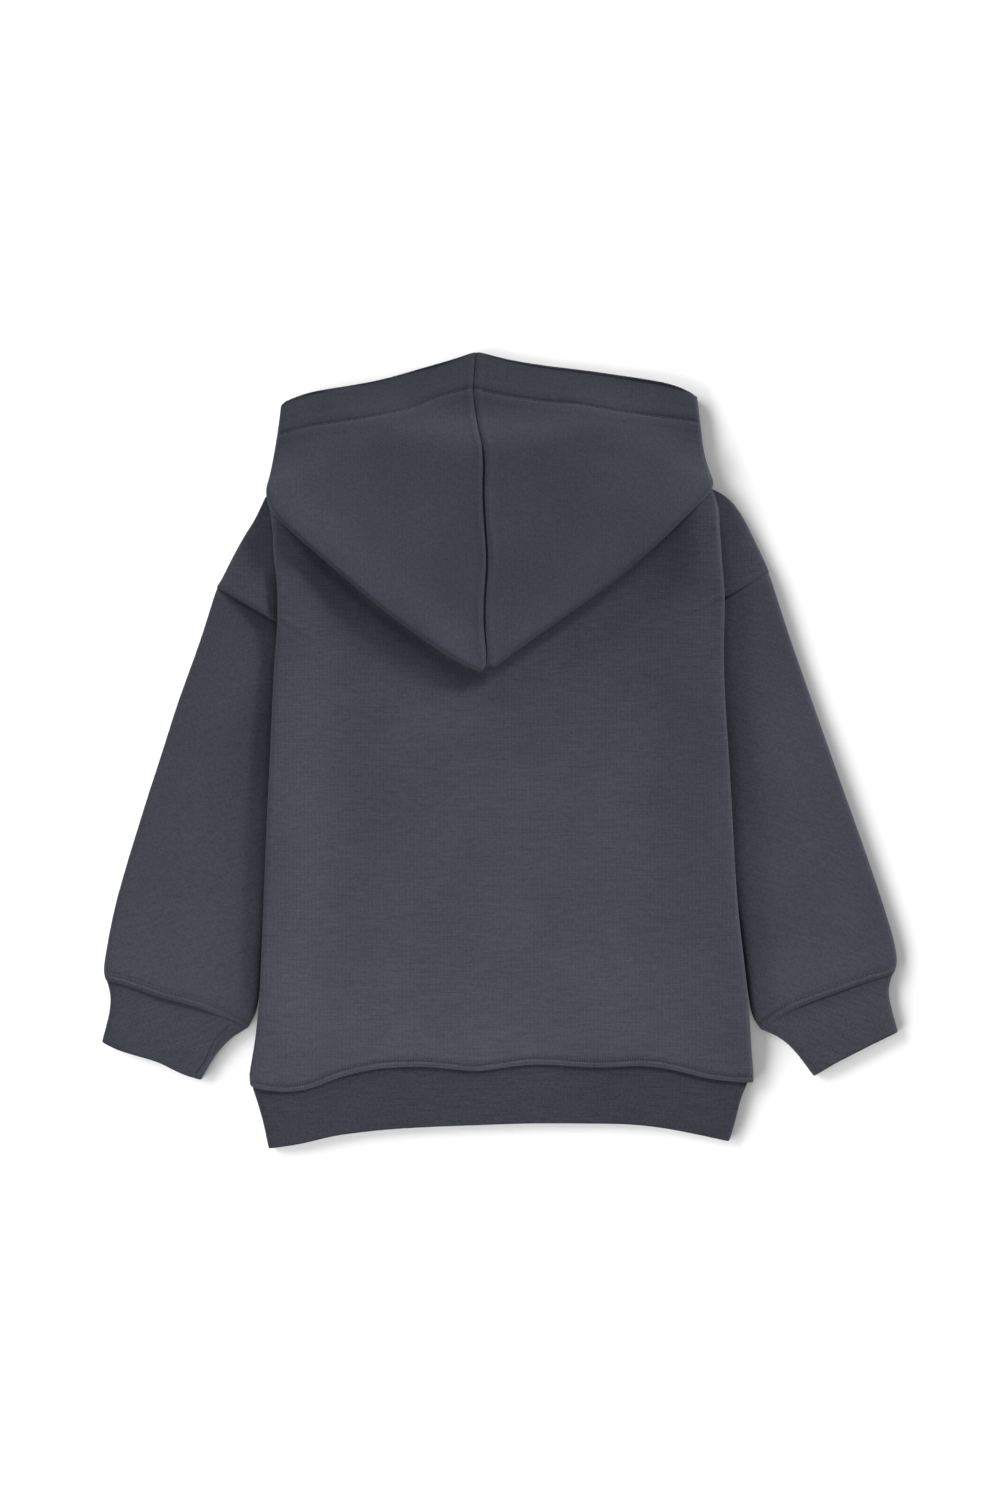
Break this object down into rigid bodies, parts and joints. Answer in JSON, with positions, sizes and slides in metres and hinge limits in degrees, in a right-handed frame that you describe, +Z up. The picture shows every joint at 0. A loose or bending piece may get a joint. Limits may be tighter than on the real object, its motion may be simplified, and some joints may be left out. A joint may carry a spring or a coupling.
{
  "type": "toddler hoodie",
  "caption": "Toddler's pullover hoodie in slate grey fleece, lying flat on its front with the hood turned down on the back and the sleeves beside the body.",
  "frame": {"origin": "middle of the laid garment's outline seen from above, on the surface that it lies on", "axes": "+Z up from the surface, +Y from the hem towards the hood, +X to the right seen from above"},
  "size_m": [0.509, 0.5096, 0.0197],
  "materials": {
    "body_fleece": "matt knitted face of brushed fleece, slate grey",
    "sleeve_fleece": "matt knitted face of brushed fleece, slate grey",
    "hood_fleece": "matt knitted face of brushed fleece, slate grey",
    "rib_knit": "matt fine rib knit, slate grey"
  },
  "bodies": {
    "root": {"front": "body_fleece", "back": "body_fleece", "sleeve_left": "sleeve_fleece", "sleeve_right": "sleeve_fleece", "hood_left": "hood_fleece", "hood_right": "hood_fleece", "cuff_left": "rib_knit", "cuff_right": "rib_knit", "hem_band": "rib_knit"}
  },
  "joints": []
}
